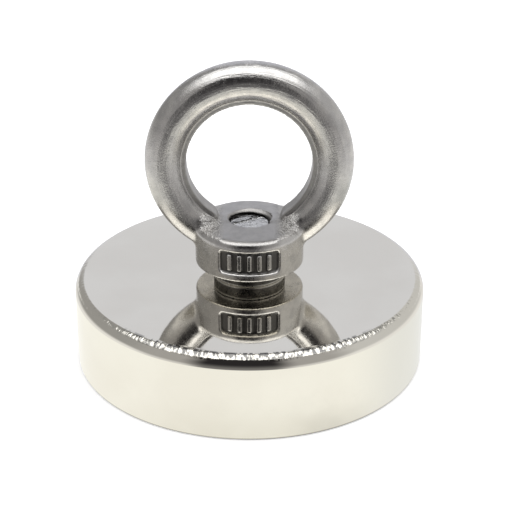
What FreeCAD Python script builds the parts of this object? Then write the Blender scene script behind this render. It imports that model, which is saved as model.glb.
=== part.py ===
"""Magnet fishing magnet: a 60 mm pot magnet with an M8 eye nut screwed onto its centre screw.

The pot is a nickel-plated steel cup, open downwards. It holds a ring magnet and a countersunk
bush, glued in and sealed with resin. A socket screw passes up through the bush and the cup, and
a spring washer and a cast eye nut hold it from above. The sizes of every piece come from one
spreadsheet, in millimetres.

Frame: origin at the centre of the magnet face, +Z up the screw, the eye's opening along Y.
"""

import FreeCAD, Part
import math
import os

import Sketcher

# Name, value in millimetres or degrees, and what it is.
DIMENSIONS = (
    ("pot_diameter", 60, "outside of the cup"),
    ("pot_height", 15, "magnet face to the cup's top"),
    ("pot_wall", 4, "thickness of the cup's wall"),
    ("pot_floor", 5, "thickness of the cup's floor, which is on top"),
    ("pot_rim_round", 2.2, "rounding of the cup's top edge"),
    ("pot_foot_chamfer", 0.4, "chamfer of the cup's edges at the magnet face"),
    ("pot_bore_diameter", 8.6, "clearance hole for the screw"),
    ("pot_bore_chamfer", 0.3, "chamfer of that hole at the cup's top"),
    ("face_recess", 0.2, "magnet and bush lie this far above the cup's foot"),
    ("resin_recess", 0.45, "cured resin lies this far above the cup's foot"),
    ("film_thickness", 0.2, "adhesive between the magnet and the cup's floor"),
    ("outer_resin_width", 0.9, "resin between the magnet and the cup's wall"),
    ("inner_resin_width", 0.7, "resin between the bush and the magnet"),
    ("magnet_chamfer", 0.4, "chamfer of the magnet's edges"),
    ("bush_diameter", 19.6, "outside of the countersunk bush"),
    ("bush_mouth_diameter", 17, "mouth of the bush's countersink"),
    ("seat_clearance", 0.05, "gap between the screw's head and the bush's seat"),
    ("head_recess", 1.1, "the screw's head lies this far above the cup's foot"),
    ("head_diameter", 16, "screw head"),
    ("head_height", 4.4, "screw head, with its cylindrical edge"),
    ("screw_length", 23.2, "whole length of the countersunk screw"),
    ("end_chamfer", 0.75, "chamfer of the screw's end"),
    ("socket_across_flats", 5, "hexagon socket"),
    ("socket_depth", 3, "hexagon socket"),
    ("thread_diameter", 8, "nominal thread diameter"),
    ("thread_pitch", 1.25, "thread pitch"),
    ("thread_play", 0.05, "each thread keeps this far inside its nominal outline"),
    ("thread_start", 6.2, "height of the first turn of the screw's thread"),
    ("washer_bore_diameter", 8.1, "split spring washer"),
    ("washer_width", 2.1, "radial width of the washer's section"),
    ("washer_thickness", 2.4, "washer, tightened flat"),
    ("washer_gap", 0.9, "gap between the washer's ends"),
    ("washer_gap_slant", 1.5, "sideways run of the gap over the washer's thickness"),
    ("boss_diameter", 18.5, "foot of the eye nut"),
    ("boss_height", 7.1, "foot of the eye nut, up to its crown's edge"),
    ("crown_height", 0.7, "rise of the boss's conical crown up to the hole"),
    ("boss_top_round", 0.6, "rounding of the boss's top edge"),
    ("boss_foot_round", 0.35, "rounding of the boss's lower edge"),
    ("nut_mouth_chamfer", 0.2, "chamfer at both ends of the tapped hole"),
    ("eye_bore_diameter", 21.1, "opening of the eye"),
    ("eye_outer_diameter", 34.9, "outside of the eye"),
    ("eye_section_diameter", 6.5, "round section of the eye"),
    ("land_width", 3.3, "flat land around the eye's opening"),
    ("spot_face_diameter", 10.6, "clearing around the tapped hole, inside the eye"),
    ("total_height", 53, "magnet face to the top of the eye"),
    ("panel_angle", 67, "angle that the sunk panel takes of the boss's side"),
    ("panel_height", 4.1, "sunk panel"),
    ("panel_depth", 0.55, "sunk panel"),
    ("panel_base", 1.35, "panel's lower edge above the boss's foot"),
    ("panel_corner_round", 0.8, "corners of the sunk panel"),
    ("rib_angle", 5.5, "angle that one raised rib takes"),
    ("rib_spacing", 11, "angle from one raised rib to the next"),
    ("rib_count", 5, "raised ribs in the panel"),
    ("rib_height", 2.9, "raised rib"),
    ("rib_rise", 0.4, "raised rib above the panel's floor"),
)

# Sizes that several pieces share, worked out from the cells above.
DERIVED = (
    ("cavity_depth", "pot_height - pot_floor"),
    ("cavity_radius", "pot_diameter / 2 - pot_wall"),
    ("magnet_outer_radius", "cavity_radius - outer_resin_width"),
    ("magnet_inner_radius", "bush_diameter / 2 + inner_resin_width"),
    ("magnet_top", "cavity_depth - film_thickness"),
    ("thread_depth", "thread_pitch * 0.5412659"),
    ("crest_half_width", "thread_pitch / 16"),
    ("root_half_width", "thread_pitch * 3 / 8"),
    ("screw_crest_radius", "thread_diameter / 2 - thread_play"),
    ("screw_root_radius", "screw_crest_radius - thread_depth"),
    ("nut_crest_radius", "thread_diameter / 2 + thread_play"),
    ("nut_hole_radius", "nut_crest_radius - thread_depth"),
    ("screw_end", "head_recess + screw_length"),
    ("head_edge_height", "head_recess + head_height - (head_diameter - thread_diameter) / 2"),
    ("nut_foot", "pot_height + washer_thickness"),
    ("boss_top", "nut_foot + boss_height"),
    ("crown_top", "boss_top + crown_height"),
    ("crown_slope", "crown_height / (boss_diameter / 2 - nut_hole_radius)"),
    ("spot_face_edge", "crown_top - crown_slope * (spot_face_diameter / 2 - nut_hole_radius)"),
    ("eye_centre_height", "total_height - eye_outer_diameter / 2"),
    ("eye_section_centre", "(eye_outer_diameter - eye_section_diameter) / 2"),
)

FULL_TURN = 360
OVERLAP = 0.12  # a thread ridge starts this far inside its core, so that the two fuse cleanly
OVERRUN = 1.0  # a cutting tool runs this far past the surface that it leaves

doc = FreeCAD.newDocument("FishingMagnet")
sheet = doc.addObject("Spreadsheet::Sheet", "dims")


def fill_sheet():
    """Writes the driving dimensions as plain numbers, and the derived ones as formulas."""
    row = 0
    for name, value, meaning in DIMENSIONS:
        row += 1
        sheet.set(f"A{row}", name)
        sheet.set(f"B{row}", str(value))
        sheet.set(f"C{row}", meaning)
        sheet.setAlias(f"B{row}", name)
    for name, formula in DERIVED:
        row += 1
        sheet.set(f"A{row}", name)
        sheet.set(f"B{row}", f"={formula}")
        sheet.setAlias(f"B{row}", name)
    doc.recompute()


def cells(expression):
    """The same expression with each of the sheet's names spelled as dims.name."""
    names = {name for name, *_ in DIMENSIONS} | {name for name, _ in DERIVED}
    words = "".join(c if c.isalnum() or c == "_" else " " for c in str(expression)).split()
    found = sorted({w for w in words if w in names}, key=len, reverse=True)
    spelled = str(expression)
    for i, word in enumerate(found):
        spelled = spelled.replace(word, f"<{i}>")
    for i, word in enumerate(found):
        spelled = spelled.replace(f"<{i}>", f"dims.{word}")
    return spelled


def value_of(expression):
    """The number that an expression in the sheet's names gives now."""
    return float(sheet.evalExpression(cells(expression)))


def new_body(label):
    body = doc.addObject("PartDesign::Body", label)
    body.Label = label
    body.Placement = FreeCAD.Placement()
    return body


def new_sketch(body, name, role):
    """An empty sketch on one of the body's own origin planes."""
    sketch = body.newObject("Sketcher::SketchObject", name)
    plane = next(f for f in body.Origin.OriginFeatures if f.Role == role)
    sketch.AttachmentSupport = (plane, [""])
    sketch.MapMode = "FlatFace"
    return sketch


def lift(sketch, height):
    """Moves a sketch up from its plane, to a height given as an expression in the sheet's names."""
    offset = FreeCAD.Vector(0, 0, value_of(height))
    sketch.AttachmentOffset = FreeCAD.Placement(offset, FreeCAD.Rotation())
    sketch.setExpression("AttachmentOffset.Base.z", cells(height))


def bind(sketch, kind, geometry, expression, name):
    """Adds one dimension to a sketch and binds it to the sheet."""
    index = sketch.addConstraint(Sketcher.Constraint(kind, *geometry, value_of(expression)))
    sketch.renameConstraint(index, name)
    sketch.setExpression(f"Constraints.{name}", cells(expression))


def outline(sketch, corners, name="p"):
    """Adds a closed run of straight lines through corners, pairs of expressions in the sheet's names."""
    points = [FreeCAD.Vector(value_of(x), value_of(y), 0) for x, y in corners]
    lines = []
    for start, end in zip(points, points[1:] + points[:1]):
        lines.append(sketch.addGeometry(Part.LineSegment(start, end)))
    for this, following in zip(lines, lines[1:] + lines[:1]):
        sketch.addConstraint(Sketcher.Constraint("Coincident", this, 2, following, 1))
    for i, (x, y) in enumerate(corners):
        for kind, expression in (("DistanceX", x), ("DistanceY", y)):
            if abs(value_of(expression)) < 1e-9:
                axis = -2 if kind == "DistanceX" else -1
                sketch.addConstraint(Sketcher.Constraint("PointOnObject", lines[i], 1, axis))
            else:
                bind(sketch, kind, (-1, 1, lines[i], 1), expression, f"{name}{i}{kind[-1].lower()}")
    return lines


def turned(body, name, corners, angle=FULL_TURN, kind="Revolution", role="XZ_Plane"):
    """Revolves an outline of (radius, height) corners about Z.

    An angle under a full turn is centred on the sketch's plane.
    """
    sketch = new_sketch(body, name + "Profile", role)
    outline(sketch, corners)
    feature = body.newObject("PartDesign::" + kind, name)
    feature.Profile = sketch
    feature.ReferenceAxis = (sketch, ["V_Axis"])
    feature.Angle = value_of(angle)
    if angle != FULL_TURN:
        feature.Midplane = True
        feature.setExpression("Angle", cells(angle))
    doc.recompute()
    return feature


def circle_edges(shape, radius, height):
    """Names of the round edges of this radius about Z, at this height."""
    found = []
    for i, edge in enumerate(shape.Edges, 1):
        curve = edge.Curve
        if isinstance(curve, Part.Circle) and abs(curve.Radius - radius) < 1e-4:
            if abs(curve.Center.z - height) < 1e-4 and abs(curve.Axis.z) > 0.999:
                found.append(f"Edge{i}")
    return found


def dress(body, kind, name, edges, size):
    """A fillet or chamfer of the given size on edges of the body's present shape."""
    assert edges, f"{body.Label}: {name} found no edge"
    base = body.Tip
    feature = body.newObject("PartDesign::" + kind, name)
    feature.Base = (base, edges)
    prop = "Radius" if kind == "Fillet" else "Size"
    setattr(feature, prop, value_of(size))
    feature.setExpression(prop, cells(size))
    doc.recompute()
    return feature


def thread_ridge(body, name, start_height, run, crest_radius, root_radius, cut):
    """Sweeps the thread's ridge along its helix, added to a screw or cut into a nut."""
    sketch = new_sketch(body, name + "Profile", "XZ_Plane")
    foot = f"({root_radius} - {OVERLAP})"
    half_foot = f"(root_half_width + {OVERLAP} * tan(30))"
    outline(
        sketch,
        (
            (foot, f"{start_height} - {half_foot}"),
            (crest_radius, f"{start_height} - crest_half_width"),
            (crest_radius, f"{start_height} + crest_half_width"),
            (foot, f"{start_height} + {half_foot}"),
        ),
    )
    kind = "SubtractiveHelix" if cut else "AdditiveHelix"
    feature = body.newObject("PartDesign::" + kind, name)
    feature.Profile = sketch
    feature.ReferenceAxis = (sketch, ["V_Axis"])
    feature.Mode = 0
    feature.Pitch = value_of("thread_pitch")
    feature.setExpression("Pitch", cells("thread_pitch"))
    feature.Height = value_of(run)
    feature.setExpression("Height", cells(run))
    feature.LeftHanded = False
    feature.Reversed = False
    doc.recompute()
    return feature


def steel_pot():
    """The cup, turned from mild steel: its floor is on top, with the screw's clearance hole."""
    body = new_body("steel_pot")
    turned(
        body,
        "Cup",
        (
            ("pot_bore_diameter / 2", "cavity_depth"),
            ("cavity_radius", "cavity_depth"),
            ("cavity_radius", "0"),
            ("pot_diameter / 2", "0"),
            ("pot_diameter / 2", "pot_height"),
            ("pot_bore_diameter / 2", "pot_height"),
        ),
    )
    shape = body.Shape
    top_edge = circle_edges(shape, value_of("pot_diameter / 2"), value_of("pot_height"))
    dress(body, "Fillet", "RimRound", top_edge, "pot_rim_round")
    shape = body.Shape
    foot_edges = circle_edges(shape, value_of("pot_diameter / 2"), 0)
    foot_edges += circle_edges(shape, value_of("cavity_radius"), 0)
    dress(body, "Chamfer", "FootChamfer", foot_edges, "pot_foot_chamfer")
    bore_edge = circle_edges(body.Shape, value_of("pot_bore_diameter / 2"), value_of("pot_height"))
    dress(body, "Chamfer", "BoreChamfer", bore_edge, "pot_bore_chamfer")
    return body


def ring_magnet():
    """The plated neodymium ring, a pad of two circles with its edges broken."""
    body = new_body("ring_magnet")
    sketch = new_sketch(body, "RingProfile", "XY_Plane")
    lift(sketch, "face_recess")
    for name, radius in (("outer", "magnet_outer_radius"), ("inner", "magnet_inner_radius")):
        circle = Part.Circle(FreeCAD.Vector(), FreeCAD.Vector(0, 0, 1), value_of(radius))
        index = sketch.addGeometry(circle)
        sketch.addConstraint(Sketcher.Constraint("Coincident", index, 3, -1, 1))
        bind(sketch, "Radius", (index,), radius, name)
    pad = body.newObject("PartDesign::Pad", "Ring")
    pad.Profile = sketch
    pad.Length = value_of("magnet_top - face_recess")
    pad.setExpression("Length", cells("magnet_top - face_recess"))
    doc.recompute()
    edges = [f"Edge{i}" for i, e in enumerate(body.Shape.Edges, 1) if isinstance(e.Curve, Part.Circle)]
    dress(body, "Chamfer", "EdgeChamfer", edges, "magnet_chamfer")
    return body


def plain_ring(label, outer_radius, inner_radius, base):
    """A ring from base up to the cup's floor. Each size is an expression in the sheet's names."""
    outer = doc.addObject("Part::Cylinder", label + "_outside")
    inner = doc.addObject("Part::Cylinder", label + "_inside")
    for cylinder, radius in ((outer, outer_radius), (inner, inner_radius)):
        cylinder.setExpression("Radius", cells(radius))
        cylinder.setExpression("Height", cells(f"cavity_depth - {base}"))
        cylinder.setExpression("Placement.Base.z", cells(base))
    ring = doc.addObject("Part::Cut", label)
    ring.Label = label
    ring.Base = outer
    ring.Tool = inner
    doc.recompute()
    return ring


def adhesive_film():
    """The glue between the magnet and the cup's floor."""
    return plain_ring("adhesive_film", "magnet_outer_radius", "magnet_inner_radius", "magnet_top")


def outer_resin_ring():
    """The resin that fills the gap between the magnet and the cup's wall."""
    return plain_ring("outer_resin_ring", "cavity_radius", "magnet_outer_radius", "resin_recess")


def inner_resin_ring():
    """The resin that fills the gap between the bush and the magnet."""
    return plain_ring("inner_resin_ring", "magnet_inner_radius", "bush_diameter / 2", "resin_recess")


def countersunk_bush():
    """The steel bush in the magnet's hole, whose countersink carries the screw's head."""
    body = new_body("countersunk_bush")
    mouth = "bush_mouth_diameter / 2"
    cone_start = f"(head_edge_height + seat_clearance - ({mouth} - head_diameter / 2))"
    cone_end = f"({cone_start} + {mouth} - pot_bore_diameter / 2)"
    turned(
        body,
        "Bush",
        (
            (mouth, "face_recess"),
            ("bush_diameter / 2", "face_recess"),
            ("bush_diameter / 2", "cavity_depth"),
            ("pot_bore_diameter / 2", "cavity_depth"),
            ("pot_bore_diameter / 2", cone_end),
            (mouth, cone_start),
        ),
    )
    return body


def countersunk_screw():
    """The M8 countersunk screw, head down, with its hexagon socket and its thread."""
    body = new_body("countersunk_screw")
    turned(
        body,
        "HeadAndCore",
        (
            ("0", "head_recess"),
            ("head_diameter / 2", "head_recess"),
            ("head_diameter / 2", "head_edge_height"),
            ("screw_root_radius", "head_edge_height + head_diameter / 2 - screw_root_radius"),
            ("screw_root_radius", f"screw_end + {OVERRUN}"),
            ("0", f"screw_end + {OVERRUN}"),
        ),
    )
    run = f"screw_end + {OVERRUN} - thread_start - root_half_width - 0.05"
    thread_ridge(body, "Thread", "thread_start", run, "screw_crest_radius", "screw_root_radius", False)
    far = "thread_diameter"
    turned(
        body,
        "EndCut",
        (
            ("0", "screw_end"),
            ("screw_crest_radius - end_chamfer", "screw_end"),
            (far, f"screw_end - ({far} - screw_crest_radius + end_chamfer)"),
            (far, f"screw_end + 3 * {OVERRUN}"),
            ("0", f"screw_end + 3 * {OVERRUN}"),
        ),
        kind="Groove",
    )
    sketch = new_sketch(body, "SocketProfile", "XY_Plane")
    lift(sketch, "head_recess")
    corner = "socket_across_flats / 2 / cos(30)"
    outline(
        sketch,
        [(f"{corner} * cos({60 * i})", f"{corner} * sin({60 * i})") for i in range(6)],
    )
    before = body.Shape.Volume
    pocket = body.newObject("PartDesign::Pocket", "Socket")
    pocket.Profile = sketch
    pocket.Length = value_of("socket_depth")
    pocket.setExpression("Length", cells("socket_depth"))
    pocket.Reversed = True
    doc.recompute()
    assert body.Shape.Volume < before - 1, "the socket cut nothing"
    return body


def spring_washer():
    """The split washer, tightened flat, with its slanted gap behind."""
    body = new_body("spring_washer")
    inner = "washer_bore_diameter / 2"
    outer = f"({inner} + washer_width)"
    turned(
        body,
        "Coil",
        ((inner, "pot_height"), (outer, "pot_height"), (outer, "nut_foot"), (inner, "nut_foot")),
    )
    before = body.Shape.Volume
    sketch = new_sketch(body, "GapProfile", "XZ_Plane")
    low, high = f"pot_height - {OVERRUN}", f"nut_foot + {OVERRUN}"
    lean = f"(washer_gap_slant * (washer_thickness + 2 * {OVERRUN}) / washer_thickness / 2)"
    outline(
        sketch,
        (
            (f"-washer_gap / 2 - {lean}", low),
            (f"washer_gap / 2 - {lean}", low),
            (f"washer_gap / 2 + {lean}", high),
            (f"-washer_gap / 2 + {lean}", high),
        ),
    )
    gap = body.newObject("PartDesign::Pocket", "Gap")
    gap.Profile = sketch
    gap.Length = value_of(f"{outer} + {OVERRUN}")
    gap.setExpression("Length", cells(f"{outer} + {OVERRUN}"))
    doc.recompute()
    assert body.Shape.Volume < before - 1, "the gap cut nothing"
    return body


def eye_section(body):
    """Sketch of the eye's section: a round with a flat land on its inner side, and the eye's axis."""
    sketch = new_sketch(body, "EyeProfile", "YZ_Plane")
    centre_height = "eye_centre_height + eye_section_centre"
    centre = FreeCAD.Vector(0, value_of(centre_height), 0)
    radius = value_of("eye_section_diameter / 2")
    half = value_of("land_width / 2")
    land_height = "eye_centre_height + eye_bore_diameter / 2"
    land = value_of(land_height)
    shoulder = centre.y - math.sqrt(radius**2 - half**2)
    start = math.atan2(shoulder - centre.y, half)
    circle = Part.Circle(centre, FreeCAD.Vector(0, 0, 1), radius)
    arc = sketch.addGeometry(Part.ArcOfCircle(circle, start, math.pi - start))
    corners = [(-half, shoulder), (-half, land), (half, land), (half, shoulder)]
    lines = []
    for a, b in zip(corners, corners[1:]):
        lines.append(sketch.addGeometry(Part.LineSegment(FreeCAD.Vector(*a, 0), FreeCAD.Vector(*b, 0))))
    left, base, right = lines
    for pair in ((arc, 2, left, 1), (left, 2, base, 1), (base, 2, right, 1), (right, 2, arc, 1)):
        sketch.addConstraint(Sketcher.Constraint("Coincident", *pair))
    sketch.addConstraint(Sketcher.Constraint("PointOnObject", arc, 3, -2))
    for line in (left, right):
        sketch.addConstraint(Sketcher.Constraint("Vertical", line))
    sketch.addConstraint(Sketcher.Constraint("Symmetric", base, 1, base, 2, -2))
    bind(sketch, "Radius", (arc,), "eye_section_diameter / 2", "section_radius")
    bind(sketch, "DistanceY", (-1, 1, arc, 3), centre_height, "section_height")
    bind(sketch, "DistanceY", (-1, 1, base, 1), land_height, "land_height")
    bind(sketch, "DistanceX", (base, 1, base, 2), "land_width", "land_width")
    axis = sketch.addGeometry(
        Part.LineSegment(
            FreeCAD.Vector(-1, value_of("eye_centre_height"), 0),
            FreeCAD.Vector(1, value_of("eye_centre_height"), 0),
        ),
        True,
    )
    sketch.addConstraint(Sketcher.Constraint("Symmetric", axis, 1, axis, 2, -2))
    bind(sketch, "DistanceY", (-1, 1, axis, 1), "eye_centre_height", "axis_height")
    bind(sketch, "DistanceX", (axis, 1, axis, 2), "land_width", "axis_length")
    return sketch


def eye_nut():
    """The cast eye nut: a boss with a tapped hole and a sunk panel, and the eye on top of it."""
    body = new_body("eye_nut")
    boss_radius = "(boss_diameter / 2)"
    turned(
        body,
        "Boss",
        (
            ("0", "nut_foot"),
            (boss_radius, "nut_foot"),
            (boss_radius, "boss_top"),
            ("nut_hole_radius", "crown_top"),
            ("0", "crown_top"),
        ),
    )
    rim = circle_edges(body.Shape, value_of(boss_radius), value_of("boss_top"))
    dress(body, "Fillet", "BossTopRound", rim, "boss_top_round")
    foot = circle_edges(body.Shape, value_of(boss_radius), value_of("nut_foot"))
    dress(body, "Fillet", "BossFootRound", foot, "boss_foot_round")

    panel_floor = f"({boss_radius} - panel_depth)"
    low = "(nut_foot + panel_base)"
    high = f"({low} + panel_height)"
    out = f"({boss_radius} + {OVERRUN})"
    before = body.Shape.Volume
    turned(
        body,
        "Panel",
        ((f"-{panel_floor}", low), (f"-{out}", low), (f"-{out}", high), (f"-{panel_floor}", high)),
        angle="panel_angle",
        kind="Groove",
        role="YZ_Plane",
    )
    assert body.Shape.Volume < before - 1, "the panel cut nothing"
    corners = [
        f"Edge{i}"
        for i, edge in enumerate(body.Shape.Edges, 1)
        if isinstance(edge.Curve, Part.Line) and abs(edge.Length - value_of("panel_depth")) < 1e-3
    ]
    dress(body, "Fillet", "PanelCornerRound", corners, "panel_corner_round")

    sketch = eye_section(body)
    eye = body.newObject("PartDesign::Revolution", "Eye")
    eye.Profile = sketch
    eye.ReferenceAxis = (sketch, ["Axis0"])
    eye.Angle = FULL_TURN
    doc.recompute()

    turned(
        body,
        "SpotFace",
        (
            ("0", "crown_top"),
            ("nut_hole_radius", "crown_top"),
            ("spot_face_diameter / 2", "spot_face_edge"),
            ("spot_face_diameter / 2", "eye_centre_height"),
            ("0", "eye_centre_height"),
        ),
        kind="Groove",
    )
    ribs(body)
    mouth = f"(nut_hole_radius + nut_mouth_chamfer + {OVERRUN})"
    turned(
        body,
        "TappingHole",
        (
            ("0", f"nut_foot - {OVERRUN}"),
            (mouth, f"nut_foot - {OVERRUN}"),
            ("nut_hole_radius", "nut_foot + nut_mouth_chamfer"),
            ("nut_hole_radius", "crown_top - nut_mouth_chamfer"),
            (mouth, f"crown_top + {OVERRUN}"),
            ("0", f"crown_top + {OVERRUN}"),
        ),
        kind="Groove",
    )
    turns_below = "(floor((nut_foot - thread_start) / thread_pitch) - 1)"
    start = f"(thread_start + {turns_below} * thread_pitch)"
    run = f"crown_top + thread_pitch / 2 - {start}"
    thread_ridge(body, "Thread", start, run, "nut_crest_radius", "nut_hole_radius", True)
    return body


def ribs(body):
    """Raises a row of plain upright ribs from the panel's floor."""
    floor_radius = "(boss_diameter / 2 - panel_depth)"
    middle = "(nut_foot + panel_base + panel_height / 2)"
    foot = f"-({floor_radius} - {OVERLAP})"
    face = f"-({floor_radius} + rib_rise)"
    low, high = f"{middle} - rib_height / 2", f"{middle} + rib_height / 2"
    rib = turned(
        body,
        "Rib",
        ((foot, low), (face, low), (face, high), (foot, high)),
        angle="rib_angle",
        role="YZ_Plane",
    )
    axis = next(f for f in body.Origin.OriginFeatures if f.Role == "Z_Axis")
    for name, backwards in (("RibsRight", False), ("RibsLeft", True)):
        pattern = body.newObject("PartDesign::PolarPattern", name)
        pattern.Originals = [rib]
        pattern.Axis = (axis, [""])
        pattern.Reversed = backwards
        pattern.setExpression("Angle", cells("rib_spacing * (rib_count - 1) / 2"))
        pattern.setExpression("Occurrences", cells("(rib_count + 1) / 2"))
        body.Tip = pattern
        doc.recompute()


def check(pieces):
    """Stops if any object failed to compute, or a piece isn't one valid solid."""
    for item in doc.Objects:
        failed = {"Invalid", "Error"} & set(item.State)
        assert not failed, f"{item.Label}: {item.State}"
    for piece in pieces:
        shape = piece.Shape
        assert not shape.isNull() and shape.isValid(), f"{piece.Label} has no valid shape"
        assert len(shape.Solids) == 1, f"{piece.Label} isn't one solid"


def write(pieces):
    os.makedirs("parts", exist_ok=True)
    for piece in pieces:
        piece.Shape.exportStep(f"parts/{piece.Label}.step")
        box = piece.Shape.optimalBoundingBox()
        size = " x ".join(f"{side:.2f}" for side in (box.XLength, box.YLength, box.ZLength))
        print(f"{piece.Label:22} {size} mm, {piece.Shape.Volume:.0f} mm3")


fill_sheet()
assembly = [
    steel_pot(),
    ring_magnet(),
    adhesive_film(),
    outer_resin_ring(),
    inner_resin_ring(),
    countersunk_bush(),
    countersunk_screw(),
    spring_washer(),
    eye_nut(),
]
doc.recompute()
check(assembly)
write(assembly)
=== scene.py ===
"""Looks of the magnet fishing magnet: a mirror-plated pot magnet with a cast eye nut.

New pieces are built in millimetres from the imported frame's boxes and scaled to metres. The adhesive
film, the bush and the screw keep their CAD meshes and only get a finish.
"""

import math

import bmesh
import bpy
import numpy as np
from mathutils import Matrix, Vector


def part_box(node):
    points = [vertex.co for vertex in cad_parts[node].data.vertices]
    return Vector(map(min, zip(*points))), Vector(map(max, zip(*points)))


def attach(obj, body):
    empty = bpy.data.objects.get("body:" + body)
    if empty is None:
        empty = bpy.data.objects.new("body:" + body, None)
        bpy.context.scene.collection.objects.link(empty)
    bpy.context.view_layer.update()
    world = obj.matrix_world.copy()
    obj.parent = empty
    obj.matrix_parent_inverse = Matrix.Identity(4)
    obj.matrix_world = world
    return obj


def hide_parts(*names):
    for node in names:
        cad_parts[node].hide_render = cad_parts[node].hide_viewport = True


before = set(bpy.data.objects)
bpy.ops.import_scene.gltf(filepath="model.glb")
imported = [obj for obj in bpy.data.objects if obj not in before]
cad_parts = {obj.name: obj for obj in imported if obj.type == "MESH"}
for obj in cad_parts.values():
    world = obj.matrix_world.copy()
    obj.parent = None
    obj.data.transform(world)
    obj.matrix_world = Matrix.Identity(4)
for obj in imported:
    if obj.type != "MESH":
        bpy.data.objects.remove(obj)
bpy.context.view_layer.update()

MM = 0.001

# ---------------------------------------------------------------- sizes, in millimetres


def box_mm(node):
    """Lowest and highest corner of a CAD node, in millimetres."""
    low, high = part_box(node)
    return np.array(low) / MM, np.array(high) / MM


pot_low, pot_high = box_mm("steel_pot")
magnet_low, magnet_high = box_mm("ring_magnet")
outer_resin_low, outer_resin_high = box_mm("outer_resin_ring")
inner_resin_low, inner_resin_high = box_mm("inner_resin_ring")
bush_low, bush_high = box_mm("countersunk_bush")
screw_low, screw_high = box_mm("countersunk_screw")
washer_low, washer_high = box_mm("spring_washer")
nut_low, nut_high = box_mm("eye_nut")

POT_RADIUS = pot_high[0]
POT_TOP = pot_high[2]
CAVITY_RADIUS = outer_resin_high[0]
MAGNET_RADIUS = magnet_high[0]
MAGNET_FACE = magnet_low[2]
BUSH_RADIUS = bush_high[0]
RESIN_FACE = outer_resin_low[2]
MAGNET_BORE = inner_resin_high[0]
FLOOR_HEIGHT = bush_high[2]
POT_BORE = 4.3
BORE_ROUND = 0.3
RIM_ROUND = 2.2
FOOT_ROUND = 0.4
MAGNET_EDGE = 0.4
MENISCUS = 0.12  # how far a resin ring's open face sinks at its middle

WASHER_OUTER = washer_high[0]
WASHER_WIDTH = 2.1
WASHER_CORNER = 0.16
WASHER_HALF_GAP = 0.45
WASHER_SLANT = 1.5

NUT_FOOT = nut_low[2]
BOSS_RADIUS = nut_high[1]
EYE_RADIUS = nut_high[0]
EYE_HEIGHT = nut_high[2] - EYE_RADIUS
EYE_BORE = 10.55
EYE_SECTION = 3.25
EYE_CENTRE_LINE = EYE_RADIUS - EYE_SECTION
LAND_HALF_WIDTH = 1.65
BOSS_TOP = NUT_FOOT + 7.1
CROWN_TOP = BOSS_TOP + 0.7
SPOT_RADIUS = 5.3
PANEL_HALF_ANGLE = math.radians(33.5)
PANEL_DEPTH = 0.55
PANEL_BASE = NUT_FOOT + 1.35
PANEL_HEIGHT = 4.1
PANEL_CORNER = 0.8
PANEL_DRAFT = 0.25
RIB_COUNT = 5
RIB_SPACING = math.radians(11)
RIB_HALF_WIDTH = 0.42
RIB_HALF_HEIGHT = 1.45
RIB_CORNER = 0.2
RIB_RISE = 0.4
THREAD_PITCH = 1.25
THREAD_START = 6.2
NUT_HOLE = 3.373
THREAD_DEPTH = 0.677
HOLE_CHAMFER = 0.35  # at both ends of the tapped hole

# ---------------------------------------------------------------- mesh building


def new_piece(name, vertices_mm, faces, normals=None):
    """A mesh object from points in millimetres, smooth, with its own normals where given."""
    mesh = bpy.data.meshes.new(name)
    mesh.from_pydata((np.asarray(vertices_mm) * MM).tolist(), [], faces)
    mesh.polygons.foreach_set("use_smooth", np.ones(len(mesh.polygons), bool))
    mesh.update()
    if normals is not None:
        mesh.normals_split_custom_set_from_vertices(np.asarray(normals).tolist())
    piece = bpy.data.objects.new(name, mesh)
    bpy.context.scene.collection.objects.link(piece)
    return piece


def arc(centre, radius, start, end, steps):
    """Points and outward normals of a round stretch of a profile; angles are in degrees."""
    found = []
    for i in range(steps + 1):
        angle = math.radians(start + (end - start) * i / steps)
        way = (math.cos(angle), math.sin(angle))
        found.append((centre[0] + radius * way[0], centre[1] + radius * way[1], way[0], way[1]))
    return found


def turn_rows(rows, angles):
    """Points and normals of profile rows turned to these angles about Z."""
    cos, sin = np.cos(angles), np.sin(angles)
    up = np.ones_like(cos)
    points = np.stack([rows[:, 0] * cos, rows[:, 0] * sin, rows[:, 1] * up], -1)
    normals = np.stack([rows[:, 2] * cos, rows[:, 2] * sin, rows[:, 3] * up], -1)
    return points, normals


def lathe(name, profile, turns=360):
    """Turns a closed profile of (radius, height, normal radius, normal height) about Z."""
    rows = np.array(profile)
    count = len(rows)
    angles = np.arange(turns) * 2 * math.pi / turns
    points, normals = turn_rows(rows, angles[:, None])
    faces = []
    for i in range(turns):
        here, there = i * count, (i + 1) % turns * count
        for j in range(count):
            k = (j + 1) % count
            if np.hypot(*(rows[j, :2] - rows[k, :2])) > 1e-6:
                faces.append((here + j, there + j, there + k, here + k))
    return new_piece(name, points.reshape(-1, 3), faces, normals.reshape(-1, 3))


# ---------------------------------------------------------------- the eye nut's implicit surface


def blend_min(a, b, width):
    """The smaller of two fields, with the crease between them filled over this width."""
    h = np.maximum(width - np.abs(a - b), 0) / width
    return np.minimum(a, b) - h * h * width / 4


def blend_max(a, b, width):
    """The larger of two fields, with the edge between them rounded over this width."""
    return -blend_min(-a, -b, width)


def rounded_rectangle(across, up, half_across, half_up, corner):
    """Signed distance to a rectangle with rounded corners, centred on the origin."""
    qx = np.abs(across) - half_across + corner
    qy = np.abs(up) - half_up + corner
    outside = np.hypot(np.maximum(qx, 0), np.maximum(qy, 0))
    return outside + np.minimum(np.maximum(qx, qy), 0) - corner


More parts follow.
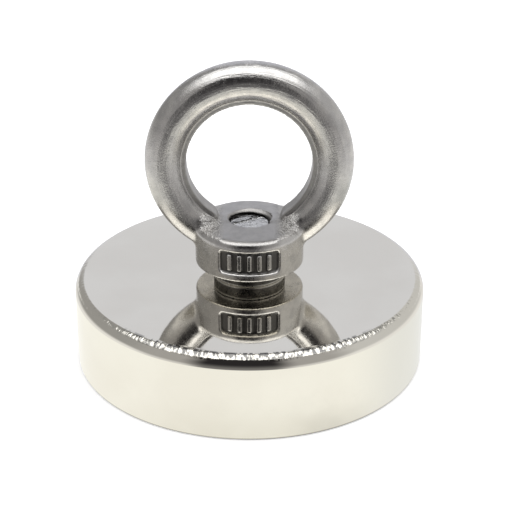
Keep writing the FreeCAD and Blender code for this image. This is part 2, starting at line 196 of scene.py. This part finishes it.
def eye_nut_field(x, y, z):
    """Negative inside the nut, positive outside, near true distance at its surface."""
    across = np.hypot(x, z - EYE_HEIGHT)
    radius = np.hypot(x, y)
    round_part = np.hypot(across - EYE_CENTRE_LINE, y) - EYE_SECTION
    land_middle = (EYE_BORE + EYE_CENTRE_LINE) / 2
    land = blend_max(
        np.abs(across - land_middle) - (EYE_CENTRE_LINE - EYE_BORE) / 2,
        np.abs(y) - LAND_HALF_WIDTH,
        0.18,
    )
    eye = blend_min(round_part, land, 0.22)

    slope = (CROWN_TOP - BOSS_TOP) / (BOSS_RADIUS - NUT_HOLE)
    crown = (z - CROWN_TOP + slope * (radius - NUT_HOLE)) / math.hypot(1, slope)
    boss = blend_max(radius - BOSS_RADIUS, crown, 1.25)
    boss = blend_max(boss, NUT_FOOT - z, 0.5)

    cleared = blend_max(blend_max(radius - SPOT_RADIUS, -crown, 0.2), z - EYE_HEIGHT, 0.2)
    eye = blend_max(eye, -cleared, 1.3)
    nut = blend_min(eye, boss, 0.8)
    nut = blend_max(nut, NUT_FOOT - z, 0.3)

    angle = np.arctan2(x, -y)
    up = z - PANEL_BASE - PANEL_HEIGHT / 2
    half_panel = BOSS_RADIUS * PANEL_HALF_ANGLE
    face = rounded_rectangle(BOSS_RADIUS * angle, up, half_panel, PANEL_HEIGHT / 2, PANEL_CORNER)
    drafted = face + PANEL_DRAFT * (BOSS_RADIUS - radius)
    panel = blend_max(drafted, BOSS_RADIUS - PANEL_DEPTH - radius, 0.25)
    nut = blend_max(nut, -panel, 0.3)
    for i in range(RIB_COUNT):
        centre = (i - (RIB_COUNT - 1) / 2) * RIB_SPACING
        sideways = BOSS_RADIUS * (angle - centre)
        rib = rounded_rectangle(sideways, up, RIB_HALF_WIDTH, RIB_HALF_HEIGHT, RIB_CORNER)
        rib = blend_max(rib, radius - (BOSS_RADIUS - PANEL_DEPTH + RIB_RISE), 0.25)
        nut = np.where(radius > BOSS_RADIUS - 2, blend_min(nut, rib, 0.25), nut)

    phase = (z - THREAD_START) / THREAD_PITCH - np.arctan2(y, x) / (2 * math.pi)
    thread = THREAD_DEPTH * (0.5 + 0.5 * np.cos(2 * math.pi * phase))
    mouth = np.maximum(HOLE_CHAMFER - (CROWN_TOP - z), HOLE_CHAMFER - (z - NUT_FOOT))
    hole = radius - NUT_HOLE - np.maximum(thread, np.clip(mouth, 0, 0.9))
    hole = np.maximum(hole, z - CROWN_TOP - 1)  # the hole ends just above the crown
    return blend_max(nut, -hole, 0.12)


def gradient(field, points, step=0.01):
    """Numeric gradient of a field at each point."""
    found = np.empty_like(points)
    for axis in range(3):
        offset = np.zeros(3)
        offset[axis] = step
        ahead, behind = points + offset, points - offset
        found[:, axis] = (field(*ahead.T) - field(*behind.T)) / (2 * step)
    return found


NET_PASSES = 8  # times that each vertex is pulled onto the surface


def surface_net(field, low, high, cell):
    """Quads over a field's zero surface: one vertex in each grid cell that the surface crosses."""
    axes = [np.arange(low[i], high[i] + cell, cell) for i in range(3)]
    values = field(*np.meshgrid(*axes, indexing="ij"))
    inside = values < 0
    corners = [
        inside[i : inside.shape[0] - 1 + i, j : inside.shape[1] - 1 + j, k : inside.shape[2] - 1 + k]
        for i in (0, 1)
        for j in (0, 1)
        for k in (0, 1)
    ]
    crossed = np.logical_or.reduce(corners) & ~np.logical_and.reduce(corners)
    ids = np.full(crossed.shape, -1)
    ids[crossed] = np.arange(crossed.sum())
    points = np.argwhere(crossed) * cell + np.array([a[0] for a in axes]) + cell / 2
    for _ in range(NET_PASSES):
        slope = gradient(field, points)
        size = np.maximum((slope**2).sum(1), 0.05)
        move = (field(*points.T) / size)[:, None] * slope
        length = np.linalg.norm(move, axis=1, keepdims=True)
        points -= move * np.minimum(1, cell * 0.5 / np.maximum(length, 1e-9))
    faces = []
    for axis in range(3):
        u, v = (axis + 1) % 3, (axis + 2) % 3
        start = [slice(None)] * 3
        end = [slice(None)] * 3
        start[axis], end[axis] = slice(0, -1), slice(1, None)
        edges = np.argwhere(inside[tuple(start)] != inside[tuple(end)])
        keep = (edges[:, u] > 0) & (edges[:, v] > 0)
        keep &= (edges[:, u] < ids.shape[u]) & (edges[:, v] < ids.shape[v])
        edges = edges[keep]
        around = []
        for du, dv in ((1, 1), (0, 1), (0, 0), (1, 0)):
            at = edges.copy()
            at[:, u] -= du
            at[:, v] -= dv
            around.append(ids[tuple(at.T)])
        quads = np.stack(around, 1)
        outward = inside[tuple(edges.T)]
        quads[~outward] = quads[~outward][:, ::-1]
        faces.append(quads)
    return points, np.concatenate(faces)


# ---------------------------------------------------------------- shader trees


class Tree:
    """Small helper that adds and links nodes in one node tree."""

    def __init__(self, tree):
        self.nodes = tree.nodes
        self.links = tree.links

    def feed(self, socket, value):
        """Links an output to the socket, or sets a number, colour or vector on it."""
        if isinstance(value, bpy.types.NodeSocket):
            self.links.new(value, socket)
        elif isinstance(value, tuple) and socket.type == "RGBA":
            socket.default_value = (*value, 1)
        else:
            socket.default_value = value

    def math(self, kind, *values):
        """One math node's result; values are numbers or outputs."""
        node = self.nodes.new("ShaderNodeMath")
        node.operation = kind
        for socket, value in zip(node.inputs, values):
            self.feed(socket, value)
        return node.outputs[0]

    def product(self, *values):
        """All the values multiplied together."""
        found = values[0]
        for value in values[1:]:
            found = self.math("MULTIPLY", found, value)
        return found

    def step(self, value, start, end, low=0.0, high=1.0):
        """low before start and high after end, smooth between; start may be the larger."""
        node = self.nodes.new("ShaderNodeMapRange")
        node.interpolation_type = "SMOOTHSTEP"
        for name, item in (("Value", value), ("From Min", start), ("From Max", end)):
            self.feed(node.inputs[name], item)
        self.feed(node.inputs["To Min"], low)
        self.feed(node.inputs["To Max"], high)
        return node.outputs["Result"]

    def length(self, x, y):
        """Length of the flat vector (x, y)."""
        return self.math("SQRT", self.math("ADD", self.product(x, x), self.product(y, y)))

    def mix(self, share, first, second):
        """first where share is 0, second where it is 1."""
        node = self.nodes.new("ShaderNodeMix")
        node.data_type = "RGBA"
        self.feed(node.inputs[0], share)
        self.feed(node.inputs[6], first)
        self.feed(node.inputs[7], second)
        return node.outputs[2]

    def parts(self, vector):
        node = self.nodes.new("ShaderNodeSeparateXYZ")
        self.links.new(vector, node.inputs[0])
        return node.outputs

    def vector(self, x, y, z):
        node = self.nodes.new("ShaderNodeCombineXYZ")
        for socket, value in zip(node.inputs, (x, y, z)):
            self.feed(socket, value)
        return node.outputs[0]

    def noise(self, place, scale, detail=4.0, roughness=0.5):
        """Noise from 0 to 1; scale is in waves per unit of the place."""
        node = self.nodes.new("ShaderNodeTexNoise")
        self.links.new(place, node.inputs["Vector"])
        node.inputs["Scale"].default_value = scale
        node.inputs["Detail"].default_value = detail
        node.inputs["Roughness"].default_value = roughness
        return node.outputs["Fac"]


class Finish(Tree):
    """One material: its principled shader, and the place on the piece in millimetres."""

    def __init__(self, name, metallic=1.0):
        self.material = bpy.data.materials.new(name)
        self.material.use_nodes = True
        super().__init__(self.material.node_tree)
        self.surface = self.nodes["Principled BSDF"]
        self.surface.inputs["Metallic"].default_value = metallic
        scaled = self.nodes.new("ShaderNodeVectorMath")
        scaled.operation = "SCALE"
        self.links.new(self.nodes.new("ShaderNodeTexCoord").outputs["Object"], scaled.inputs[0])
        scaled.inputs["Scale"].default_value = 1 / MM
        self.place = scaled.outputs[0]
        self.x, self.y, self.z = self.parts(self.place)
        self.radius = self.length(self.x, self.y)
        self.normal = None

    def colour(self, value):
        self.feed(self.surface.inputs["Base Color"], value)

    def rough(self, value):
        self.feed(self.surface.inputs["Roughness"], value)

    def grain(self, scale, detail=4.0, roughness=0.5):
        """Noise over the piece; scale is in waves per millimetre."""
        return self.noise(self.place, scale, detail, roughness)

    def cloud(self, scale, detail, low=0.0, high=1.0):
        """Soft clouds of that grain, from low to high."""
        return self.step(self.grain(scale, detail), 0.3, 0.7, low, high)

    def bump(self, height, depth):
        """Adds relief of this depth in millimetres to what is there already."""
        node = self.nodes.new("ShaderNodeBump")
        node.inputs["Distance"].default_value = depth * MM
        self.links.new(height, node.inputs["Height"])
        if self.normal is not None:
            self.links.new(self.normal, node.inputs["Normal"])
        self.normal = node.outputs["Normal"]
        self.links.new(self.normal, self.surface.inputs["Normal"])


# ---------------------------------------------------------------- materials


def mirror_nickel():
    """Bright nickel plate: nearly a mirror, faintly wavy, with fine notches along the front rim,
    where dark gaps between the glints are painted too.
    """
    finish = Finish("mirror_nickel")
    tone = finish.step(finish.grain(0.06, 3), 0.35, 0.65)
    plate = finish.mix(tone, (0.84, 0.81, 0.735), (0.875, 0.85, 0.775))
    around = finish.math("ARCTAN2", finish.x, finish.product(finish.y, -1.0))
    in_front = finish.step(finish.math("ABSOLUTE", around), 0.9, 0.5)
    unrolled = finish.vector(finish.product(around, 46.0), finish.product(finish.z, 1.5), 0.0)
    notches = finish.noise(unrolled, 1.0, 2)
    inner_band = finish.product(
        finish.step(finish.radius, POT_RADIUS - 0.55, POT_RADIUS - 0.8),
        finish.step(finish.radius, POT_RADIUS - 2.0, POT_RADIUS - 1.7),
    )
    # Painted shade: dark gaps between the rim's glints, coloured into the front band of the rim.
    painted_glint_gaps = finish.product(inner_band, in_front, finish.step(notches, 0.44, 0.56))
    plate = finish.mix(painted_glint_gaps, plate, (0.20, 0.196, 0.19))
    # Painted shade: the lowest 0.4 mm of the foot is darkened.
    finish.colour(finish.mix(finish.step(finish.z, 0.42, 0.22), plate, (0.30, 0.29, 0.27)))
    finish.rough(finish.step(finish.grain(0.9, 5), 0.35, 0.7, 0.025, 0.06))
    rim_top = finish.step(finish.z, POT_TOP - 0.95, POT_TOP - 0.55)
    rim = finish.product(rim_top, finish.step(finish.radius, POT_RADIUS - 1.9, POT_RADIUS - 1.5))
    finish.bump(finish.grain(0.09, 2), 0.02)
    finish.bump(finish.product(rim, notches), 0.12)
    turned = finish.noise(finish.vector(finish.radius, 0.0, finish.z), 6.0, 2)
    marks = finish.product(turned, finish.step(finish.radius, POT_RADIUS - 2.4, POT_RADIUS - 1.6))
    finish.bump(finish.product(marks, rim_top), 0.012)
    return finish.material


def cast_stainless():
    """Tumbled cast stainless: belt lines round the ring, fine pits, blasted where the legs land, with
    shade painted into the panel recess and the mouth of the hole.
    """
    finish = Finish("cast_stainless")
    up = finish.math("SUBTRACT", finish.z, EYE_HEIGHT)
    across = finish.length(finish.x, up)
    section = finish.math("ARCTAN2", finish.y, finish.math("SUBTRACT", across, EYE_CENTRE_LINE))
    along = finish.math("ARCTAN2", finish.x, up)
    on_ring = finish.step(finish.z, BOSS_TOP + 1.5, BOSS_TOP + 5)
    land = finish.step(across, EYE_BORE + 0.9, EYE_BORE + 0.5)
    near_legs = finish.product(
        finish.step(finish.z, BOSS_TOP + 2.8, BOSS_TOP + 0.6),
        finish.step(finish.z, BOSS_TOP - 0.5, BOSS_TOP),
        finish.step(finish.math("ABSOLUTE", finish.x), 4.0, 5.2),
        finish.step(finish.radius, BOSS_RADIUS + 0.3, BOSS_RADIUS - 1.4),
    )
    boss_top = finish.product(
        finish.step(finish.z, BOSS_TOP - 0.3, BOSS_TOP),
        finish.step(finish.z, CROWN_TOP + 0.6, CROWN_TOP + 0.2),
        finish.step(finish.radius, BOSS_RADIUS - 0.3, BOSS_RADIUS - 0.7),
    )
    # Painted shade: the panel recess and the mouth of the hole are darkened in the colour.
    sunk = finish.product(
        finish.step(finish.radius, BOSS_RADIUS - 0.22, BOSS_RADIUS - 0.42),
        finish.step(finish.z, PANEL_BASE - 0.1, PANEL_BASE + 0.1),
        finish.step(finish.z, PANEL_BASE + PANEL_HEIGHT + 0.1, PANEL_BASE + PANEL_HEIGHT - 0.1),
        finish.step(finish.y, -4.4, -4.9),
    )
    in_hole = finish.product(
        finish.step(finish.radius, NUT_HOLE + 1.0, NUT_HOLE + 0.7),
        finish.step(finish.z, CROWN_TOP - 0.4, CROWN_TOP - 0.6),
    )
    painted_recess_shade = finish.math("MAXIMUM", sunk, in_hole)
    fine = finish.grain(3.4, 5, 0.65)
    tone = finish.step(finish.grain(0.5, 4), 0.35, 0.65)
    light = finish.mix(tone, (0.55, 0.54, 0.53), (0.66, 0.645, 0.625))
    pitted = finish.mix(finish.step(fine, 0.62, 0.74, 0.0, 0.6), light, (0.26, 0.25, 0.24))
    # Darker towards the inside of the eye.
    inner_side = finish.product(finish.step(across, EYE_BORE + 2.6, EYE_BORE + 0.8), 0.45)
    inner_darkened = finish.mix(inner_side, pitted, (0.30, 0.29, 0.28))
    # The painted shade in the recess and the hole's mouth darkens the colour here.
    finish.colour(finish.mix(finish.product(painted_recess_shade, 0.88), inner_darkened, (0.06, 0.058, 0.055)))
    base = finish.cloud(1.6, 5, 0.16, 0.28)
    satin = finish.math("MAXIMUM", finish.product(near_legs, 0.08), finish.product(land, 0.14))
    satin = finish.math("MAXIMUM", satin, finish.product(boss_top, 0.14))
    finish.rough(finish.math("ADD", base, finish.math("MAXIMUM", satin, finish.product(painted_recess_shade, 0.12))))
    unrolled = finish.vector(finish.product(section, EYE_SECTION), finish.product(along, 1.2), 0.0)
    belt_lines = finish.noise(unrolled, 2.6, 3)
    finish.bump(finish.product(belt_lines, on_ring), 0.055)
    finish.bump(fine, 0.03)
    finish.bump(finish.product(finish.grain(1.9, 3, 0.6), near_legs), 0.5)
    return finish.material


def plated_steel(name, colour, low_rough, high_rough, grain=1.2, depth=0.012):
    """A plated or bare steel part: clouded colour, uneven polish and a fine grain."""
    finish = Finish(name)
    dark = tuple(part * 0.82 for part in colour)
    finish.colour(finish.mix(finish.cloud(grain / 3, 4), dark, colour))
    finish.rough(finish.cloud(grain, 5, low_rough, high_rough))
    finish.bump(finish.grain(grain * 2.5, 5, 0.6), depth)
    return finish.material


def washer_steel():
    """Dark oiled spring steel, with highlights painted bright along the outer corners."""
    finish = Finish("spring_steel")
    dark = finish.mix(finish.cloud(0.8, 3), (0.10, 0.096, 0.09), (0.17, 0.165, 0.155))
    # Painted highlight: the outer corners are coloured bright.
    painted_edge_highlight = finish.product(
        finish.step(finish.radius, WASHER_OUTER - 0.4, WASHER_OUTER - 0.1),
        finish.math(
            "MAXIMUM",
            finish.step(finish.z, POT_TOP + 0.45, POT_TOP + 0.2),
            finish.step(finish.z, NUT_FOOT - 0.45, NUT_FOOT - 0.2),
        ),
    )
    finish.colour(finish.mix(painted_edge_highlight, dark, (0.62, 0.61, 0.59)))
    finish.rough(finish.cloud(1.6, 3, 0.24, 0.38))
    finish.bump(finish.grain(0.8, 4), 0.006)
    return finish.material


def turned_screw():
    """Zinc-plated screw: a sawn end with a slanting burr, and fine turning lines."""
    finish = Finish("screw_zinc")
    finish.colour(finish.mix(finish.cloud(0.5, 4), (0.60, 0.60, 0.60), (0.78, 0.78, 0.77)))
    finish.rough(finish.cloud(1.4, 5, 0.14, 0.3))
    slant = finish.math("ADD", finish.product(finish.x, 0.55), finish.product(finish.y, -0.84))
    wander = finish.product(finish.math("SUBTRACT", finish.grain(0.8, 3), 0.5), 1.6)
    line = finish.math("ABSOLUTE", finish.math("ADD", finish.math("ADD", slant, 1.0), wander))
    at_end = finish.step(finish.z, screw_high[2] - 0.5, screw_high[2] - 0.1)
    cut = finish.product(finish.step(line, 0.0, 0.45, 1.0, 0.0), at_end)
    finish.bump(cut, 0.5)
    finish.bump(finish.product(finish.grain(1.1, 4), at_end), 0.3)
    finish.bump(finish.noise(finish.vector(finish.radius, 0.0, finish.z), 5.0, 2), 0.008)
    return finish.material


def cured_resin(name, dark, light):
    """Poured resin or glue: glossy in places, dusty in others, slightly rippled."""
    finish = Finish(name, metallic=0.0)
    finish.colour(finish.mix(finish.cloud(0.5, 4), dark, light))
    finish.rough(finish.cloud(0.8, 4, 0.22, 0.5))
    finish.bump(finish.grain(0.6, 4), 0.06)
    return finish.material


# ---------------------------------------------------------------- pieces


def finish_piece(piece, node, body, material):
    """Puts a piece in the place of its CAD node."""
    piece.data.materials.append(material)
    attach(piece, body)
    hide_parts(node)


def build_pot(material):
    """The cup: flat mirror top, rounded rim, plain side, thin foot and its inner wall."""
    profile = [(POT_BORE, POT_TOP - BORE_ROUND, -1.0, 0.0), (POT_BORE, FLOOR_HEIGHT, -1.0, 0.0)]
    profile += [(POT_BORE, FLOOR_HEIGHT, 0.0, -1.0), (CAVITY_RADIUS, FLOOR_HEIGHT, 0.0, -1.0)]
    profile += [(CAVITY_RADIUS, FLOOR_HEIGHT, -1.0, 0.0), (CAVITY_RADIUS, FOOT_ROUND, -1.0, 0.0)]
    profile += arc((CAVITY_RADIUS + FOOT_ROUND, FOOT_ROUND), FOOT_ROUND, 180, 270, 6)
    profile += arc((POT_RADIUS - FOOT_ROUND, FOOT_ROUND), FOOT_ROUND, 270, 360, 6)
    profile += arc((POT_RADIUS - RIM_ROUND, POT_TOP - RIM_ROUND), RIM_ROUND, 0, 90, 24)
    profile += arc((POT_BORE + BORE_ROUND, POT_TOP - BORE_ROUND), BORE_ROUND, 90, 180, 5)
    piece = lathe("pot_shell", profile)
    finish_piece(piece, "steel_pot", "magnet_assembly", material)


def build_magnet(material):
    """The ring magnet, with rounded edges."""
    edge = MAGNET_EDGE
    top = magnet_high[2]
    profile = arc((MAGNET_BORE + edge, MAGNET_FACE + edge), edge, 180, 270, 5)
    profile += arc((MAGNET_RADIUS - edge, MAGNET_FACE + edge), edge, 270, 360, 5)
    profile += arc((MAGNET_RADIUS - edge, top - edge), edge, 0, 90, 5)
    profile += arc((MAGNET_BORE + edge, top - edge), edge, 90, 180, 5)
    piece = lathe("magnet_ring", profile)
    finish_piece(piece, "ring_magnet", "magnet_assembly", material)


def build_resin(name, node, inner, outer, material):
    """A ring of cured resin, whose open face sags into a shallow meniscus."""
    steps = 10
    profile = []
    for i in range(steps + 1):
        t = i / steps
        radius = inner + (outer - inner) * t
        height = RESIN_FACE + MENISCUS * math.sin(math.pi * t)
        lean = -MENISCUS * math.pi / (outer - inner) * math.cos(math.pi * t)
        size = math.hypot(1, lean)
        profile.append((radius, height, -lean / size, -1 / size))
    profile += [(outer, RESIN_FACE, 1.0, 0.0), (outer, FLOOR_HEIGHT, 1.0, 0.0)]
    profile += [(outer, FLOOR_HEIGHT, 0.0, 1.0), (inner, FLOOR_HEIGHT, 0.0, 1.0)]
    profile += [(inner, FLOOR_HEIGHT, -1.0, 0.0), (inner, RESIN_FACE, -1.0, 0.0)]
    finish_piece(lathe(name, profile), node, "magnet_assembly", material)


def close_ends(mesh, count):
    """Caps a swept tube whose rings have this many vertices."""
    bm = bmesh.new()
    bm.from_mesh(mesh)
    rings = list(bm.verts)
    bm.faces.new(rings[:count])
    bm.faces.new(rings[-count:][::-1])
    bm.to_mesh(mesh)
    bm.free()


def build_washer(material):
    """The split spring washer: a rounded square section swept round to its slanted gap."""
    inner, outer, corner = WASHER_OUTER - WASHER_WIDTH, WASHER_OUTER, WASHER_CORNER
    low, high = washer_low[2], washer_high[2]
    rows = np.array(
        arc((outer - corner, high - corner), corner, 0, 90, 4)
        + arc((inner + corner, high - corner), corner, 90, 180, 4)
        + arc((inner + corner, low + corner), corner, 180, 270, 4)
        + arc((outer - corner, low + corner), corner, 270, 360, 4)
    )
    count = len(rows)
    steps = 160
    up = (rows[:, 1] - low) / (high - low) * 2 - 1
    shift = -WASHER_SLANT / 2 * up
    first = math.pi / 2 + (WASHER_HALF_GAP + shift) / rows[:, 0]
    last = math.pi / 2 + 2 * math.pi - (WASHER_HALF_GAP - shift) / rows[:, 0]
    share = np.arange(steps + 1)[:, None] / steps
    points, normals = turn_rows(rows, first + (last - first) * share)
    faces = []
    for i in range(steps):
        here, there = i * count, (i + 1) * count
        for j in range(count):
            k = (j + 1) % count
            faces.append((here + j, there + j, there + k, here + k))
    piece = new_piece("split_washer", points.reshape(-1, 3), faces, normals.reshape(-1, 3))
    close_ends(piece.data, count)
    finish_piece(piece, "spring_washer", "washer", material)


def build_eye_nut(material):
    """The cast eye nut, netted from its field; the grid reaches a little past its CAD box."""
    margin = 0.6
    cell = 0.24
    points, faces = surface_net(eye_nut_field, nut_low - margin, nut_high + margin, cell)
    points = np.clip(points, nut_low, nut_high)
    slope = gradient(eye_nut_field, points)
    normals = slope / np.maximum(np.linalg.norm(slope, axis=1, keepdims=True), 1e-9)
    piece = new_piece("eye_nut_casting", points, faces.tolist(), normals)
    finish_piece(piece, "eye_nut", "nut", material)


def dress_node(node, material):
    """A CAD node that keeps its own mesh and gets a finished material."""
    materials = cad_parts[node].data.materials
    materials.clear()
    materials.append(material)


build_pot(mirror_nickel())
build_magnet(plated_steel("magnet_nickel", (0.74, 0.73, 0.70), 0.14, 0.26, 0.9))
black_resin = cured_resin("black_resin", (0.012, 0.012, 0.013), (0.03, 0.03, 0.032))
build_resin("resin_outer", "outer_resin_ring", MAGNET_RADIUS, CAVITY_RADIUS, black_resin)
build_resin("resin_inner", "inner_resin_ring", BUSH_RADIUS, MAGNET_BORE, black_resin)
dress_node("adhesive_film", cured_resin("grey_adhesive", (0.06, 0.06, 0.065), (0.11, 0.11, 0.115)))
dress_node("countersunk_bush", plated_steel("bush_nickel", (0.78, 0.76, 0.71), 0.1, 0.2))
dress_node("countersunk_screw", turned_screw())
build_washer(washer_steel())
build_eye_nut(cast_stainless())

# ---------------------------------------------------------------- floor, light and camera

# The studio's brightness by direction, as the plate and the castings reflect it
LEFT_WALL = (0.34, 0.335, 0.33)
RIGHT_WALL = (0.60, 0.595, 0.59)
LOW_WALL = (0.86, 0.85, 0.84)
BACK_WALL = (0.70, 0.71, 0.76)
FRONT_SHOULDER = (0.40, 0.39, 0.385)
LOW_SHOULDER = (0.72, 0.71, 0.70)
DARK_FRONT = (0.026, 0.024, 0.026)
LOW_FRONT = (0.22, 0.215, 0.215)
WALL_TOP = (0.28, 0.28, 0.28)
CEILING = (2.1, 2.1, 2.1)
CEILING_SEAM = (0.75, 0.75, 0.75)
PALE_GROUND = (1.03, 1.025, 0.98)
NEAR_GROUND = (0.90, 0.89, 0.83)
RIGHT_GROUND = (0.88, 0.89, 0.88)
NEAR_RIGHT = (0.70, 0.70, 0.66)

FLOOR_REACH = 4.0
FLOOR_GLOW = 0.42
CAMERA_PLACE = (0.00095, -0.2296, 0.1313)
CAMERA_LOOKS_DOWN = 26.24
CAMERA_LENS = 105.17


def build_floor():
    """A pale floor that glows a little, so that the shadow under the pot stays soft."""
    reach = FLOOR_REACH
    corners = [(-reach, -reach, 0), (reach, -reach, 0), (reach, reach, 0), (-reach, reach, 0)]
    mesh = bpy.data.meshes.new("floor")
    mesh.from_pydata(corners, [], [(0, 1, 2, 3)])
    floor = bpy.data.objects.new("floor", mesh)
    bpy.context.scene.collection.objects.link(floor)
    finish = Finish("floor_white", metallic=0.0)
    finish.colour((0.9, 0.9, 0.9))
    finish.rough(0.9)
    finish.surface.inputs["Emission Color"].default_value = (1, 1, 1, 1)
    finish.surface.inputs["Emission Strength"].default_value = FLOOR_GLOW
    mesh.materials.append(finish.material)
    floor.visible_glossy = False


def build_world():
    """The studio as seen in reflections: light strip above, grey walls, pale floor, dark front.

    Angles are in degrees: height above the horizon, turn from the front (right is positive), and
    past_zenith from straight up towards the back.
    """
    world = bpy.data.worlds.new("studio")
    bpy.context.scene.world = world
    world.use_nodes = True
    tree = Tree(world.node_tree)
    x, y, z = tree.parts(tree.nodes.new("ShaderNodeTexCoord").outputs["Generated"])

    def degrees(radians):
        return tree.math("MULTIPLY", radians, 180 / math.pi)

    height = degrees(tree.math("ARCSINE", z))
    turn = degrees(tree.math("ARCTAN2", x, tree.product(y, -1.0)))
    sideways = tree.math("ABSOLUTE", turn)
    off_front = tree.math("ABSOLUTE", tree.math("ADD", turn, 6.0))
    past_zenith = degrees(tree.math("ARCTAN2", y, z))
    side_height = degrees(tree.math("ARCTAN2", z, tree.math("ABSOLUTE", x)))

    side = tree.mix(tree.step(turn, -20, 20), LEFT_WALL, RIGHT_WALL)
    side = tree.mix(tree.step(height, 0, -18), side, LOW_WALL)
    wall = tree.mix(tree.step(sideways, 150, 165), side, BACK_WALL)
    shoulder = tree.mix(tree.step(height, -4, -20), FRONT_SHOULDER, LOW_SHOULDER)
    wall = tree.mix(tree.step(off_front, 78, 55), wall, shoulder)
    front = tree.mix(tree.step(height, 20, -24), DARK_FRONT, LOW_FRONT)
    wall = tree.mix(tree.step(off_front, 38, 20), wall, front)
    behind_strip = tree.product(
        tree.step(past_zenith, 41, 38),
        tree.step(past_zenith, 0, 10),
        tree.step(height, 35, 42),
    )
    wall = tree.mix(behind_strip, wall, WALL_TOP)
    overhead = tree.product(
        tree.step(past_zenith, -44, -28),
        tree.step(past_zenith, 23, 20),
        tree.step(side_height, 38, 58),
    )
    seam = tree.math("ABSOLUTE", tree.math("SUBTRACT", tree.math("PINGPONG", past_zenith, 9.0), 4.5))
    strip = tree.mix(tree.step(seam, 0.9, 0.2), CEILING, CEILING_SEAM)
    above = tree.mix(overhead, wall, strip)
    pale = tree.mix(tree.step(turn, 60, 120), PALE_GROUND, RIGHT_GROUND)
    near = tree.mix(tree.step(turn, 18, 60), NEAR_GROUND, NEAR_RIGHT)
    ground = tree.mix(tree.step(height, -31.5, -33.6), pale, near)
    studio = tree.mix(tree.step(height, -25, -28), above, ground)
    tree.feed(tree.nodes["Background"].inputs["Color"], studio)


def build_camera():
    """A long lens from in front and above."""
    data = bpy.data.cameras.new("camera")
    data.sensor_width = 36
    data.lens = CAMERA_LENS
    camera = bpy.data.objects.new("camera", data)
    camera.location = CAMERA_PLACE
    camera.rotation_euler = (math.radians(90 - CAMERA_LOOKS_DOWN), 0, 0)
    data.clip_start = 0.01
    bpy.context.scene.collection.objects.link(camera)
    bpy.context.scene.camera = camera


build_floor()
build_world()
build_camera()
bpy.context.scene.view_settings.view_transform = "Standard"
